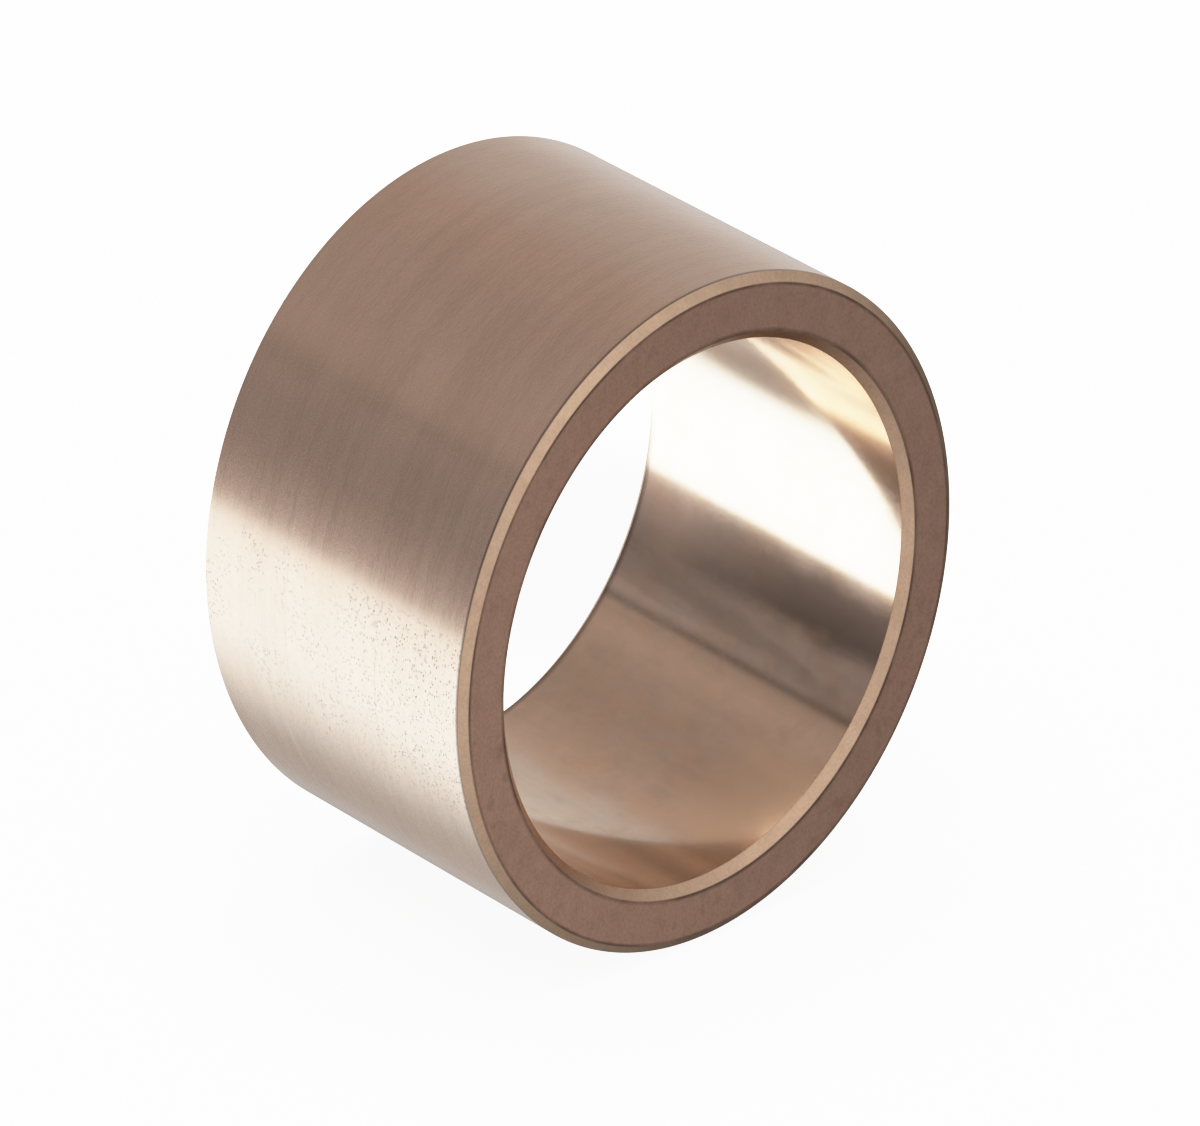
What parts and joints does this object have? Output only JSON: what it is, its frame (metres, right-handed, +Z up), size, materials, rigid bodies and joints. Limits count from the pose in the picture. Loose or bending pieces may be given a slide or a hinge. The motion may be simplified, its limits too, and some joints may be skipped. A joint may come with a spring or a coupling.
{
  "type": "plain sleeve bushing",
  "caption": "Plain round bronze sleeve bushing with a smooth through bore, a smooth press-fit outside and a small chamfer on every rim.",
  "frame": {"origin": "centre of the bore, halfway between the two end faces", "axes": "+X along the bore axis towards the front end face, +Z up, as the bushing lies on its outside"},
  "size_m": [0.032, 0.052, 0.052],
  "materials": {
    "bronze": "bronze, satin outside, smoother burnished bore, matte end faces"
  },
  "bodies": {
    "root": {"bushing_sleeve": "bronze"}
  },
  "joints": []
}
